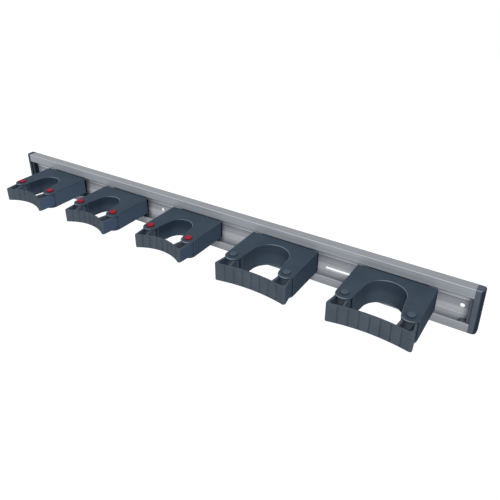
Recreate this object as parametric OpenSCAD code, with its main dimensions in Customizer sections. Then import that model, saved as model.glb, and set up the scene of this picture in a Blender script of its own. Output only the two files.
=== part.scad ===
// Wall rail with five sliding tool holders, millimetres.
// The wall plane is y = 0, the front looks along -Y, Z is up and x = 0 is the middle of the rail.

/* [Rail] */
// Overall length of the rail with both end caps
overall_len = 940; // [900:5:1200]
// Height of the rail
rail_h = 73; // [69:1:90]
// Depth of the rail from the wall to the flange face
rail_d = 17; // [16:0.5:22]
// Height of the front flange that hangs from the top wall
flange_h = 15.5; // [12:0.5:18]
// Height of the front lip that stands on the bottom wall
lip_h = 14.3; // [12:0.1:16]
// Thickness of the top wall, bottom wall, flange and lip
rail_wall = 2.5; // [2:0.1:3]
// Thickness of the web that lies against the wall
web_t = 3.5; // [2.5:0.1:4.5]
// Diameter of the round fixing holes
hole_d = 7; // [6:0.5:11]
// Distance from each end of the aluminium to the centre of its end hole
end_hole_inset = 15; // [13:0.5:20]
// Distance of each middle hole from the centre of the rail
mid_hole_x = 105.5; // [95:0.5:120]
// How far the round holes lie below the middle of the rail's height
hole_drop = 3.5; // [0:0.5:6]
// Distance of each slot centre from the centre of the rail
slot_x = 260; // [250:1:270]
// Length of each fixing slot between its round ends' tips
slot_len = 57; // [40:1:90]
// Width of each fixing slot
slot_w = 5; // [4:0.25:5.5]
// Height of the slot centre line below the middle of the web
slot_drop = 14; // [13:0.25:15]

/* [End caps] */
// Length of the part of the cap that shows past the rail
cap_len = 11.5; // [8:0.5:16]
// Rounding of the cap's outer edges
cap_round = 3; // [1.5:0.5:4]
// How far the plug reaches into the rail
plug_len = 5; // [3:0.5:7]
// How far the prongs reach into the rail
prong_len = 18; // [10:1:22]
// Gap between the plug and the channel
plug_gap = 0.3; // [0.2:0.1:0.5]

/* [Holder places] */
// Distance from the aluminium's left end to the middle of the first holder
left_to_1 = 113.5; // [108:0.5:118]
// Distance from the aluminium's left end to the middle of the second holder
left_to_2 = 278.5; // [270:0.5:284]
// Distance of the third holder's middle to the left of the rail's middle
middle_to_3 = 11.5; // [0:0.5:20]
// Distance from the aluminium's right end to the middle of the fourth holder
right_to_4 = 293.5; // [284:0.5:304]
// Distance from the aluminium's right end to the middle of the fifth holder
right_to_5 = 108; // [102:0.5:116]

/* [Small holders] */
// Width of a small holder
small_w = 106; // [100:1:110]
// Height of a small holder
small_h = 30; // [26:0.5:34]
// Distance from the wall to the pins of a small holder
small_reach = 95; // [90:0.5:102]
// Radius of the round arm tips of a small holder
small_tip_r = 12.5; // [11.5:0.25:13.5]
// Radius of the handle opening of a small holder
small_mouth_r = 22.5; // [20:0.5:25]
// Distance from the wall to the back of the handle opening of a small holder
small_mouth_back = 46.5; // [42:0.5:50]
// Half width of the rubber front of a small holder
small_front_x = 47.5; // [45:0.5:49]
// Distance from the wall to the ends of the ribbed front of a small holder, before the corners are rounded
small_front_y = 131.5; // [129:0.5:136]
// Hollow of the ribbed front of a small holder
small_sag = 16; // [12:0.5:17]
// Half width between the inner legs of a small holder's jaws
small_leg_x = 27; // [25:0.5:28]

/* [Large holders] */
// Width of a large holder
large_w = 120; // [114:1:124]
// Height of a large holder
large_h = 36.4; // [32:0.2:40]
// Distance from the wall to the pins of a large holder
large_reach = 96.8; // [92:0.2:104]
// Radius of the round arm tips of a large holder
large_tip_r = 13; // [12:0.25:14]
// Radius of the handle opening of a large holder
large_mouth_r = 30; // [27:0.5:32]
// Distance from the wall to the back of the handle opening of a large holder
large_mouth_back = 36; // [33:0.5:42]
// Half width of the rubber front of a large holder
large_front_x = 61.5; // [58:0.5:63]
// Distance from the wall to the ends of the ribbed front of a large holder, before the corners are rounded
large_front_y = 128.5; // [127:0.5:135]
// Hollow of the ribbed front of a large holder
large_sag = 7.5; // [4:0.5:10]
// Half width between the inner legs of a large holder's jaws
large_leg_x = 35.5; // [33:0.5:38]

/* [Holder details] */
// Thickness of the top and bottom plates
plate_t = 3; // [2:0.1:4]
// Thickness of the side and mouth walls
wall_t = 2.5; // [2:0.1:3]
// How far the lower part of the mouth stands forward
ledge_step = 4.5; // [2:0.5:6]
// Height of the ledge in the mouth above the middle of the rail
ledge_z = 0.3; // [-3:0.1:6]
// Gap between the holder and the flange and lip that it slides on
slide_gap = 0.5; // [0.3:0.05:0.8]
// Height of the hooks behind the flange and lip
hook_h = 6; // [4:0.5:8]
// Thickness of the hooks
hook_t = 3.5; // [2.5:0.5:5]
// Thickness of the rubber legs
leg_t = 3.2; // [2.5:0.1:4]
// Thickness of the ribbed rubber band
band_t = 3; // [2.4:0.1:4]
// Rounding of the front corners of the jaws
corner_r = 2.5; // [2:0.1:3]
// Number of pads along the ribbed band
pads = 8; // [6:2:10]
// Depth of the grooves between the pads
groove_d = 0.6; // [0.3:0.1:1]
// Radius of the hinge pins
pin_r = 4; // [3:0.25:4.5]
// Running gap between a pin and its jaw
pin_gap = 0.08; // [0.05:0.01:0.1]
// Radius of a pin head
pin_head_r = 6.2; // [5.5:0.1:8]
// Height of a pin head above the top plate
pin_head_h = 3.3; // [2:0.1:4]

/* [Hidden] */
$fn = 64;

holder_large = [false, false, false, true, true];

// Rail levels
rail_len = overall_len - 2 * cap_len;
rail_end = rail_len / 2;
holder_place = [left_to_1 - rail_end, left_to_2 - rail_end, -middle_to_3,
                rail_end - right_to_4, rail_end - right_to_5];
flange_low = rail_h / 2 - flange_h;
lip_top = -rail_h / 2 + lip_h;
front_in = rail_d - rail_wall;
inner_z = rail_h / 2 - rail_wall;
edge_r = 1.2;
ridge_t = 1;
ridge_low = 7.5;
groove_low = -16.75;
groove_high = -11.25;
groove_web_d = 0.5;
cut_extra = 1;

// Holder levels
holder_top = flange_low - slide_gap;
foot_low = lip_top + slide_gap;
body_back = rail_d + slide_gap;
foot_back = web_t + ridge_t + slide_gap;
hook_front = front_in - slide_gap;
foot_inset = 16;
foot_wall = 3;
// How far the foot's top lies below the plates, which leaves room for the flange's edge
foot_drop = 1.5;
back_wall_t = 3;
jaw_gap = 0.2;
band_gap = 0.3;
hub_gap = 0.4;
pin_fit = 0.05;
pin_foot_rim = 1.2;
pin_foot_r = pin_r + pin_foot_rim;
pin_foot_h = 1.5;
head_edge_r = 0.8;
mouth_end = 5;
leg_start = 2.5;
groove_w = 1;

housing_color = [0.23, 0.29, 0.35];
rubber_color = [0.30, 0.33, 0.38];
metal_color = [0.62, 0.63, 0.65];
cap_color = [0.26, 0.30, 0.36];
red_color = [0.75, 0.12, 0.18];

function pick(n, small, large) = holder_large[n - 1] ? large : small;
function holder_x(n) = holder_place[n - 1];
function width(n) = pick(n, small_w, large_w);
function low(n) = holder_top - pick(n, small_h, large_h);
function reach(n) = pick(n, small_reach, large_reach);
function tip_r(n) = pick(n, small_tip_r, large_tip_r);
function pin_x(n) = width(n) / 2 - tip_r(n);
function mouth_r(n) = pick(n, small_mouth_r, large_mouth_r);
function mouth_y(n) = pick(n, small_mouth_back, large_mouth_back) + mouth_r(n);
function front_x(n) = pick(n, small_front_x, large_front_x);
function front_y(n) = pick(n, small_front_y, large_front_y);
function sag(n) = pick(n, small_sag, large_sag);
function leg_x(n) = pick(n, small_leg_x, large_leg_x);
function hub_r(n) = tip_r(n) - wall_t - hub_gap;
function jaw_low(n) = low(n) + plate_t + jaw_gap;
function jaw_h(n) = holder_top - plate_t - jaw_gap - jaw_low(n);
// Radius of the hollow front and the distance from the wall to its centre
function hollow_r(n) = (front_x(n) * front_x(n) + sag(n) * sag(n)) / (2 * sag(n));
function hollow_y(n) = front_y(n) - sag(n) + hollow_r(n);
// Distance from the wall to the hollow front at a given x
function hollow_at(n, x) = hollow_y(n) - sqrt(hollow_r(n) * hollow_r(n) - x * x);
// Centre of the rounded front corner, which touches the hollow front
function corner_x(n) = front_x(n) - corner_r;
function corner_reach(n) = hollow_r(n) + corner_r;
function corner_y(n) = hollow_y(n) - sqrt(corner_reach(n) * corner_reach(n) - corner_x(n) * corner_x(n));
function corner_touch_x(n) = corner_x(n) * hollow_r(n) / corner_reach(n);
// Direction at right angles to the line that touches the hub and the rounded corner on their outer side
function leg_span(n) = norm([corner_x(n) - pin_x(n), corner_y(n) - reach(n)]);
function leg_course(n) = atan2(corner_y(n) - reach(n), corner_x(n) - pin_x(n));
function leg_normal(n) = leg_course(n) - acos((hub_r(n) - corner_r) / leg_span(n));

module at_holder(n) {
    translate([holder_x(n), 0, 0]) children();
}

// A prism with its outline in the X and Y plane, between two levels
module slab(z0, z1) {
    translate([0, 0, z0]) linear_extrude(z1 - z0) children();
}

// A rectangle between two x values and two distances from the wall
module patch(x0, x1, d0, d1) {
    translate([x0, -d1]) square([x1 - x0, d1 - d0]);
}

// An extrusion along the rail of an outline drawn with the distance from the wall and the height
module along(x0, x1) {
    translate([x0, 0, 0]) rotate([90, 0, 90]) linear_extrude(x1 - x0) mirror([1, 0]) children();
}

module box2(d0, d1, z0, z1) {
    translate([d0, z0]) square([d1 - d0, z1 - z0]);
}

module rail_outline() {
    difference() {
        box2(0, rail_d, -rail_h / 2, rail_h / 2);
        // Open channel behind the flange and the lip
        box2(web_t, front_in, -inner_z, inner_z);
        box2(web_t, rail_d + cut_extra, lip_top, flange_low);
        // Rounded front edges
        round_cut(rail_d - edge_r, rail_h / 2 - edge_r);
        mirror([0, 1]) round_cut(rail_d - edge_r, rail_h / 2 - edge_r);
        // Shallow groove along the web
        box2(web_t - groove_web_d, web_t + cut_extra, groove_low, groove_high);
    }
    // Thicker strip along the top of the web
    box2(0, web_t + ridge_t, ridge_low, inner_z + rail_wall / 2);
}

// Material outside a corner arc that is centred at the given distance and height
module round_cut(d, z) {
    difference() {
        translate([d, z]) square(edge_r + cut_extra);
        translate([d, z]) circle(edge_r);
    }
}

module through_web(d) {
    rotate([90, 0, 0]) translate([0, 0, -cut_extra]) cylinder(d = d, h = web_t + ridge_t + 2 * cut_extra);
}

module slot_cut() {
    half = (slot_len - slot_w) / 2;
    for (s = [-1, 1]) translate([s * half, 0, 0]) through_web(slot_w);
    translate([-half, -web_t - ridge_t - cut_extra, -slot_w / 2])
        cube([2 * half, web_t + ridge_t + 2 * cut_extra, slot_w]);
}

module rail() {
    color(metal_color) difference() {
        along(-rail_end, rail_end) rail_outline();
        for (s = [-1, 1]) {
            translate([s * (rail_end - end_hole_inset), 0, -hole_drop]) through_web(hole_d);
            translate([s * mid_hole_x, 0, -hole_drop]) through_web(hole_d);
            translate([s * slot_x, 0, -slot_drop]) slot_cut();
        }
    }
}

// Rounded block that closes the end of the rail, with its outer face towards +X
module cap_block() {
    r = cap_round;
    h = rail_h / 2;
    intersection() {
        // Outline in the X and Z plane
        rotate([90, 0, 0]) linear_extrude(rail_d) union() {
            translate([0, -h]) square([cap_len - r, rail_h]);
            translate([0, -h + r]) square([cap_len, rail_h - 2 * r]);
            for (s = [-1, 1]) translate([cap_len - r, s * (h - r)]) circle(r);
        }
        // Outline in the X and Y plane
        slab(-h, h) union() {
            patch(0, cap_len - r, 0, rail_d);
            patch(0, cap_len, 0, rail_d - r);
            translate([cap_len - r, -rail_d + r]) circle(r);
        }
        // Outline of the rail, with the same small rounding on its front edges
        along(0, cap_len) difference() {
            box2(0, rail_d, -h, h);
            round_cut(rail_d - edge_r, h - edge_r);
            mirror([0, 1]) round_cut(rail_d - edge_r, h - edge_r);
        }
    }
}

module end_cap() {
    d0 = web_t + ridge_t + plug_gap;
    d1 = front_in - plug_gap;
    top = inner_z - plug_gap;
    color(cap_color) translate([rail_end, 0, 0]) {
        cap_block();
        // Plug across the channel
        along(-plug_len, cap_len / 2) box2(d0, d1, -top, top);
        // Prongs that lie in the corners of the channel
        for (s = [0, 1]) mirror([0, 0, s])
            along(-prong_len, cap_len / 2) box2(d0, d1, -top, lip_top - plug_gap);
    }
}

module end_cap_right() {
    end_cap();
}

module end_cap_left() {
    mirror([1, 0, 0]) end_cap();
}

// Handle opening, with its back moved forward and its walls moved out by given amounts
module mouth(n, forward, out) {
    y0 = mouth_y(n) + forward;
    r = mouth_r(n) + out;
    x1 = pin_x(n) - tip_r(n) + out;
    translate([0, -y0]) circle(r);
    polygon([[-r, -y0], [r, -y0], [x1, -reach(n)], [x1, -reach(n) - 2 * tip_r(n)],
             [-x1, -reach(n) - 2 * tip_r(n)], [-x1, -reach(n)]]);
}

// Outline of the plates: straight sides, round arm tips and the handle opening
module plate_outline(n, forward) {
    difference() {
        union() {
            patch(-width(n) / 2, width(n) / 2, body_back, reach(n));
            for (s = [-1, 1]) translate([s * pin_x(n), -reach(n)]) circle(tip_r(n));
        }
        mouth(n, forward, 0);
    }
}

// Side walls, back wall and the wall round the mouth
module wall_outline(n, forward) {
    w = width(n) / 2;
    for (s = [-1, 1]) mirror([s < 0 ? 1 : 0, 0]) patch(w - wall_t, w, body_back, reach(n));
    patch(-w, w, body_back, body_back + back_wall_t);
    difference() {
        intersection() {
            mouth(n, 0, wall_t);
            patch(-w, w, body_back, reach(n) - mouth_end);
        }
        mouth(n, forward, 0);
    }
}

module housing(n) {
    foot_w = width(n) / 2 - foot_inset;
    color(housing_color) at_holder(n) difference() {
        union() {
            slab(holder_top - plate_t, holder_top) plate_outline(n, 0);
            slab(low(n), low(n) + plate_t) plate_outline(n, ledge_step);
            slab(ledge_z, holder_top) wall_outline(n, 0);
            slab(low(n), ledge_z) wall_outline(n, ledge_step);
            // Foot in the rail channel, with its hooks behind the flange and the lip
            along(-foot_w, foot_w) {
                box2(foot_back, body_back + back_wall_t, foot_low, holder_top - foot_drop);
                box2(hook_front - hook_t, hook_front, foot_low - hook_h, holder_top + hook_h);
            }
        }
        // Pockets in the foot, open towards the wall, with a rib between them
        for (s = [0, 1]) mirror([s, 0, 0])
            along(foot_wall / 2, foot_w - foot_wall)
                box2(foot_back - cut_extra, body_back, foot_low + foot_wall, holder_top - foot_wall);
        // Pin holes through both plates
        for (s = [-1, 1]) translate([s * pin_x(n), -reach(n), low(n) - cut_extra])
            cylinder(r = pin_r + pin_fit, h = holder_top - low(n) + 2 * cut_extra);
        // Recess for the pin feet under the bottom plate
        for (s = [-1, 1]) translate([s * pin_x(n), -reach(n), low(n) - cut_extra])
            cylinder(r = pin_foot_r + pin_fit, h = pin_foot_h + cut_extra + pin_fit);
    }
}

// Part of the ribbed front between two x values, before its hollow face is cut
module front_strip(n, x0, x1) {
    intersection() {
        translate([0, -hollow_y(n)]) circle(hollow_r(n) + band_t, $fn = 240);
        patch(x0, x1, front_y(n) - sag(n) - 2 * band_t, front_y(n) + leg_t);
    }
}

// Circle that the front is hollowed to
module hollow_front(n) {
    translate([0, -hollow_y(n)]) circle(hollow_r(n), $fn = 240);
}

// Vertical grooves between the pads of the ribbed front
module front_grooves(n) {
    pitch = (2 * front_x(n) - corner_r) / pads;
    for (i = [1 - pads / 2 : pads / 2 - 1]) {
        x = i * pitch;
        y = hollow_at(n, x);
        patch(x - groove_w / 2, x + groove_w / 2, y - groove_d, y + cut_extra * 2);
    }
}

// Outline of the outer leg of the right jaw, which touches the hub and the rounded front corner
module outer_leg(n) {
    c = cos(leg_normal(n));
    s = sin(leg_normal(n));
    outer = hub_r(n);
    inner = hub_r(n) - leg_t;
    edge = corner_r - leg_t;
    polygon([[pin_x(n) + outer * c, -reach(n) - outer * s],
             [corner_x(n) + corner_r * c, -corner_y(n) - corner_r * s],
             [corner_x(n) + edge * c, -corner_y(n) - edge * s],
             [pin_x(n) + inner * c, -reach(n) - inner * s]]);
}

// Outline of the inner leg of the right jaw, from the hub to the ribbed front
module inner_leg(n) {
    lx = leg_x(n);
    ly = hollow_at(n, lx);
    side = pin_x(n) - hub_r(n);
    start = reach(n) + leg_start + leg_t / 2;
    polygon([[pin_x(n), -start], [side + leg_t / 4, -start], [lx, -ly], [lx + leg_t, -ly - leg_t],
             [side + leg_t * 1.5, -start - leg_t], [pin_x(n), -start - leg_t]]);
}

// Right jaw at the middle of the rail: hub, two legs and its part of the ribbed front
module jaw_shape(n) {
    z0 = jaw_low(n);
    z1 = z0 + jaw_h(n);
    difference() {
        union() {
            slab(z0, z1) translate([pin_x(n), -reach(n)]) circle(hub_r(n));
            slab(z0, z1) outer_leg(n);
            slab(z0, z1) inner_leg(n);
            slab(z0, z1) front_strip(n, leg_x(n), corner_touch_x(n));
            slab(z0, z1) translate([corner_x(n), -corner_y(n)]) circle(corner_r);
        }
        slab(z0 - cut_extra, z1 + cut_extra) hollow_front(n);
        slab(z0 - cut_extra, z1 + cut_extra) front_grooves(n);
        translate([pin_x(n), -reach(n), z0 - cut_extra])
            cylinder(r = pin_r + pin_gap, h = jaw_h(n) + 2 * cut_extra);
    }
}

module jaw_right(n) {
    color(rubber_color) at_holder(n) jaw_shape(n);
}

module jaw_left(n) {
    color(rubber_color) at_holder(n) mirror([1, 0, 0]) jaw_shape(n);
}

// Half of the ribbed band between the two jaws
module band_half(n) {
    slab(jaw_low(n), jaw_low(n) + jaw_h(n)) difference() {
        front_strip(n, band_gap / 2, leg_x(n) - band_gap);
        hollow_front(n);
        front_grooves(n);
    }
}

module band_right(n) {
    color(rubber_color) at_holder(n) band_half(n);
}

module band_left(n) {
    color(rubber_color) at_holder(n) mirror([1, 0, 0]) band_half(n);
}

module pin(n) {
    translate([0, 0, low(n) + pin_fit]) cylinder(r = pin_r, h = holder_top - low(n));
    translate([0, 0, low(n) + pin_fit]) cylinder(r = pin_foot_r, h = pin_foot_h - pin_fit);
    translate([0, 0, holder_top + pin_fit]) rotate_extrude() {
        square([pin_head_r - head_edge_r, pin_head_h]);
        square([pin_head_r, pin_head_h - head_edge_r]);
        translate([pin_head_r - head_edge_r, pin_head_h - head_edge_r]) circle(head_edge_r);
    }
}

module pins(n) {
    color(holder_large[n - 1] ? housing_color : red_color) at_holder(n)
        for (s = [-1, 1]) translate([s * pin_x(n), -reach(n), 0]) pin(n);
}

rail();
end_cap_left();
end_cap_right();
housing(1);  // housing_1
housing(2);  // housing_2
housing(3);  // housing_3
housing(4);  // housing_4
housing(5);  // housing_5
jaw_left(1);  // jaw_left_1
jaw_left(2);  // jaw_left_2
jaw_left(3);  // jaw_left_3
jaw_left(4);  // jaw_left_4
jaw_left(5);  // jaw_left_5
jaw_right(1);  // jaw_right_1
jaw_right(2);  // jaw_right_2
jaw_right(3);  // jaw_right_3
jaw_right(4);  // jaw_right_4
jaw_right(5);  // jaw_right_5
band_left(1);  // band_left_1
band_left(2);  // band_left_2
band_left(3);  // band_left_3
band_left(4);  // band_left_4
band_left(5);  // band_left_5
band_right(1);  // band_right_1
band_right(2);  // band_right_2
band_right(3);  // band_right_3
band_right(4);  // band_right_4
band_right(5);  // band_right_5
pins(1);  // pins_1
pins(2);  // pins_2
pins(3);  // pins_3
pins(4);  // pins_4
pins(5);  // pins_5
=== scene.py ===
"""Looks of a wall rail with five sliding tool holders.

Shapes are drawn in millimetres in the part's own frame: the wall plane is y = 0, the front looks
along -Y, Z is up and x = 0 is the middle of the rail. Meshes are turned into metres when they are made.
"""

import math

import bmesh
import bpy
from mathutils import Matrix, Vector
from mathutils.geometry import delaunay_2d_cdt, tessellate_polygon


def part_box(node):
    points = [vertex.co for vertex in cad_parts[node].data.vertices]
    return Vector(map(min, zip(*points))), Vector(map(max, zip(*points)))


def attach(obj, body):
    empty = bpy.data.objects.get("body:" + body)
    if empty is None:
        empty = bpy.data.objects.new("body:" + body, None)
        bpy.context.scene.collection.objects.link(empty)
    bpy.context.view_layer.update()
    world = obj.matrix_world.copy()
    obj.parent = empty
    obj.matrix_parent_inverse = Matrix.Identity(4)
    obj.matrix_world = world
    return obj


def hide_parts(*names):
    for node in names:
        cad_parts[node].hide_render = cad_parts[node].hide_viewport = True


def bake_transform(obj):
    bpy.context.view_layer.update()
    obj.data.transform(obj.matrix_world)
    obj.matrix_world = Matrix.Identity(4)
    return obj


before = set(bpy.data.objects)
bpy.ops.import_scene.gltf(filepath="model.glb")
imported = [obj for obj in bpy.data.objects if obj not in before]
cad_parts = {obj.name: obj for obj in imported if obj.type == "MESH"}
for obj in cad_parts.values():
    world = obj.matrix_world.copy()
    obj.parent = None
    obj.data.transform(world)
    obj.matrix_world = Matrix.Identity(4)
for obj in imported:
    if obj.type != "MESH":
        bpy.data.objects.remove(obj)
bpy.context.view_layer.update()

MM = 0.001

# Rail sizes
RAIL_H = 73
RAIL_D = 17
FLANGE_LOW = 21
LIP_TOP = -22.2
SHEET = 2.5
WEB = 3.5
RIDGE = 1
RIDGE_LOW = 7.5
GROOVE = (-16.75, -11.25)
GROOVE_DEPTH = 0.5
FRONT_ROUND = 1.2
HOLE_R = 3.5
HOLE_Z = -3.5
END_HOLE_INSET = 15
MIDDLE_HOLE = 105.5
SLOT_X = 260
SLOT_LENGTH = 57
SLOT_R = 2.5
SLOT_Z = -14
HOLE_EDGE = 0.5
BACK_ROUND = 0.4
EDGE_ROUND = 0.6
INSIDE_ROUND = 0.5
RIDGE_ROUND = 0.25
RIDGE_FOOT = 0.2
GROOVE_ROUND = 0.15
SAWN_ROUND = 0.15

# End cap sizes
CAP_ROUND = 3
CAP_BEND = 7.5
BEND_STEPS = 12
CAP_GAP = 0.05
CAP_BACK_ROUND = 0.8
PLUG = 5
PRONG = 14
PLUG_GAP = 0.3
PLUG_ROUND = 0.5

# Holders, small and large: width and height of the housing, distance of the pins from the wall
# (reach), radius of the arm tips (tip) and of the handle opening (mouth), distance of the opening
# from the wall (mouth_back), half the width of the rubber's front and its distance from the wall
# (front_x, front_y), depth of its hollow (sag), where the inner legs meet it (leg_x), height of the
# crease in the opening's wall, and how deep the band folds in between its pads (fold)
SMALL = {
    "width": 106, "height": 30, "reach": 95, "tip": 12.5, "mouth": 22.5, "mouth_back": 46.5,
    "front_x": 47.5, "front_y": 131.5, "sag": 16, "leg_x": 27, "crease": 12, "fold": 1.8,
    "pin_slot": "pin_red",
}
LARGE = {
    "width": 120, "height": 36.4, "reach": 96.8, "tip": 13, "mouth": 30, "mouth_back": 36,
    "front_x": 61.5, "front_y": 128.5, "sag": 7.5, "leg_x": 35.5, "crease": 2.5, "fold": 1.2,
    "pin_slot": "pin_grey",
}
KINDS = [SMALL, SMALL, SMALL, LARGE, LARGE]

# Housing sizes
HOLDER_TOP = 20.5
PLATE = 3
WALL = 2.5
LEDGE_STEP = 4.5
SLIDE_GAP = 0.5
HOOK_H = 6
HOOK_T = 3.5
HOOK_ROUND = 0.8
FOOT_INSET = 16
FOOT_WALL = 3
FOOT_DROP = 1.5
FOOT_ROUND = 0.5
POCKET_ROUND = 1
POCKET_EDGE = 0.8
BACK_WALL = 3
PLATE_ROUND = 1.1
PLATE_EDGE = 0.5
ARM_ROUND = 0.8
WALL_IN = 0.2
MOUTH_END = 3

# Lower wall of the handle opening, from its crease down, as (share of the fall, share of the step)
MOUTH_SLOPE = [(0, 0.01), (0.08, 0.02), (0.2, 0.1), (1, 1)]

# Rubber sizes
LEG = 3.2
LEG_START = 2.5
CORNER = 3.5
BAND = 3
PADS = 8
PAD_GROOVE = 1
PAD_GROOVE_W = 1.6
PAD_RIM = 1.8
RIM_SUNK = 0.08
RIM_FRONT_ROUND = 0.4
RIM_PAD_ROUND = 0.2
JAW_GAP = 0.2
HUB_GAP = 0.4
BORE_GAP = 0.08
RUBBER_ROUND = 0.6

# Pin sizes
PIN_R = 4
PIN_HEAD_R = 6.2
PIN_HEAD_H = 3.3
PIN_HEAD_EDGE = 0.9
PIN_HEAD_RISE = 0.35
PIN_SEAT_EDGE = 0.2
PIN_FOOT_R = 5.2
PIN_FOOT_H = 1.5
PIN_FOOT_EDGE = 0.3
PIN_SUNK = 0.2
PIN_FIT = 0.05

# Fineness of curves, reach of cutters past a face, depth of a solid in the one that it joins, and
# the step that keeps two joined faces out of one plane
ARC_STEP = 1.2
FINE_STEP = 0.6
BAND_STEP = 2
RIM_STEPS = 28
CUT_PAST = 1
JOIN_DEPTH = 2
OFF_PLANE = 0.01

# Bend in degrees up to which faces are shaded smooth, and distance at which points are merged
SMOOTH_ANGLE = 32
MERGE_WITHIN = 0.002

# Where the looks change along the rail: painted light on the outer sides from the lighter, bluer left
# to the darker, greyer right, painted shade on the left cap, and the bright stretch between the duller
# ends
SIDE_LIGHT_SPAN = (-360, 370)
CAP_SHADE_SPAN = (-420, -380)
BRIGHT_HALF = 385
BRIGHT_SOFT = 50

# Share of a normal along X from which a side counts as flat. A wider range would colour its rounded edges
FLAT = (0.9996, 0.9999)


# Outlines

def arc(centre, radius, start, end, step=ARC_STEP):
    """Points along an arc between two angles in degrees, both ends included."""
    sweep = math.radians(end - start)
    count = max(3, math.ceil(abs(sweep) * radius / step))
    angles = [math.radians(start) + sweep * i / count for i in range(count + 1)]
    return [(centre[0] + radius * math.cos(a), centre[1] + radius * math.sin(a)) for a in angles]


def circle(centre, radius, step=ARC_STEP):
    """Closed outline of a circle."""
    return arc(centre, radius, 0, 360, step)[:-1]


def rounded(corners, steps=4):
    """Closed outline through (x, y, radius) corners, with its inside on the left."""
    points = []
    for i, (x, y, radius) in enumerate(corners):
        here = Vector((x, y))
        if radius == 0:
            points.append((x, y))
            continue
        before = (Vector(corners[i - 1][:2]) - here).normalized()
        after = (Vector(corners[(i + 1) % len(corners)][:2]) - here).normalized()
        half = before.angle(after) / 2
        centre = here + (before + after).normalized() * radius / math.sin(half)
        first = here + before * radius / math.tan(half) - centre
        last = here + after * radius / math.tan(half) - centre
        start = math.atan2(first.y, first.x)
        sweep = (math.atan2(last.y, last.x) - start + math.pi) % (2 * math.pi) - math.pi
        for k in range(steps + 1):
            a = start + sweep * k / steps
            points.append((centre.x + radius * math.cos(a), centre.y + radius * math.sin(a)))
    return counterclockwise(points)


def rectangle(x0, x1, y0, y1):
    """Closed outline of a rectangle."""
    return [(x0, y0), (x1, y0), (x1, y1), (x0, y1)]


def counterclockwise(outline):
    """Outline turned so that its inside is on the left."""
    area = sum(a[0] * b[1] - b[0] * a[1] for a, b in zip(outline, outline[1:] + outline[:1]))
    return outline if area > 0 else list(reversed(outline))


def region(add, cut=(), least=0.03):
    """Boundary loops of outlines joined together, less the outlines cut from them."""
    points, faces = [], []
    for outline in [counterclockwise(o) for o in list(add) + list(cut)]:
        faces.append(list(range(len(points), len(points) + len(outline))))
        points += [Vector(p) for p in outline]
    verts, _, triangles, _, _, owners = delaunay_2d_cdt(points, [], faces, 1, 1e-5)
    kept = []
    for triangle, owner in zip(triangles, owners):
        if any(o < len(add) for o in owner) and not any(o >= len(add) for o in owner):
            kept.append(counterclockwise_face(verts, triangle))
    edges = {(a, b) for t in kept for a, b in zip(t, t[1:] + t[:1])}
    follow = {a: b for a, b in edges if (b, a) not in edges}
    loops = []
    while follow:
        start, here = follow.popitem()
        loop = [verts[start]]
        while here != start:
            if (verts[here] - loop[-1]).length > least:
                loop.append(verts[here])
            here = follow.pop(here)
        loops.append([(p.x, p.y) for p in loop])
    return loops


def counterclockwise_face(verts, triangle):
    """Triangle of vertex numbers turned so that its inside is on the left."""
    a, b, c = (verts[i] for i in triangle)
    area = (b.x - a.x) * (c.y - a.y) - (c.x - a.x) * (b.y - a.y)
    return list(triangle) if area > 0 else list(reversed(triangle))


def inset(loop, depth, seam=None):
    """Loop moved towards its inside. A point on the line x = seam stays on that line."""
    moved = []
    for i, point in enumerate(loop):
        here = Vector(point)
        into = (here - Vector(loop[i - 1])).normalized()
        out = (Vector(loop[(i + 1) % len(loop)]) - here).normalized()
        bisector = Vector((-into.y - out.y, into.x + out.x))
        if bisector.length < 1e-6:
            bisector = Vector((-into.y, into.x))
        bisector.normalize()
        share = max(0.35, bisector.dot(Vector((-into.y, into.x))))
        here += bisector * depth / share
        if seam is not None and abs(point[0] - seam) < 1e-3:
            here.x = point[0]
        moved.append((here.x, here.y))
    return moved


# Meshes

def upright(u, v, w):
    """An outline in the X and Y plane, extruded upwards."""
    return (u, v, w)


def lengthwise(u, v, w):
    """An outline in the Y and Z plane, extruded along X."""
    return (w, u, v)


def new_object(name, verts, faces):
    """Closed mesh object with its faces turned outwards, its vertices given in millimetres."""
    mesh = bpy.data.meshes.new(name)
    mesh.from_pydata([[c * MM for c in v] for v in verts], [], faces)
    work = bmesh.new()
    work.from_mesh(mesh)
    bmesh.ops.recalc_face_normals(work, faces=work.faces)
    work.to_mesh(mesh)
    work.free()
    piece = bpy.data.objects.new(name, mesh)
    bpy.context.scene.collection.objects.link(piece)
    return piece


def prism(name, loops, low, high, top=0, bottom=0, steps=3, place=upright, seam=None):
    """Extrusion of boundary loops between two levels, with rounded rims."""
    levels = []
    for k in range(steps + 1):
        a = math.pi / 2 * k / steps
        if bottom or k == steps:
            levels.append((low + bottom * (1 - math.cos(a)), bottom * (1 - math.sin(a))))
    for k in range(steps + 1):
        a = math.pi / 2 * k / steps
        if top or k == steps:
            levels.append((high - top + top * math.sin(a), top * (1 - math.cos(a))))
    verts, faces = [], []
    first_ring, last_ring = [], []
    for loop in loops:
        count = len(loop)
        rings = []
        for level, depth in levels:
            rings.append(len(verts))
            verts += [(u, v, level) for u, v in inset(loop, depth, seam)]
        for low_ring, high_ring in zip(rings, rings[1:]):
            for i in range(count):
                j = (i + 1) % count
                faces.append((low_ring + i, low_ring + j, high_ring + j, high_ring + i))
        first_ring.append(range(rings[0], rings[0] + count))
        last_ring.append(range(rings[-1], rings[-1] + count))
    for rings in (first_ring, last_ring):
        numbers = [i for ring in rings for i in ring]
        flat = [[Vector((verts[i][0], verts[i][1], 0)) for i in ring] for ring in rings]
        faces += [tuple(numbers[i] for i in t) for t in tessellate_polygon(flat)]
    return new_object(name, [place(*v) for v in verts], faces)


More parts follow.
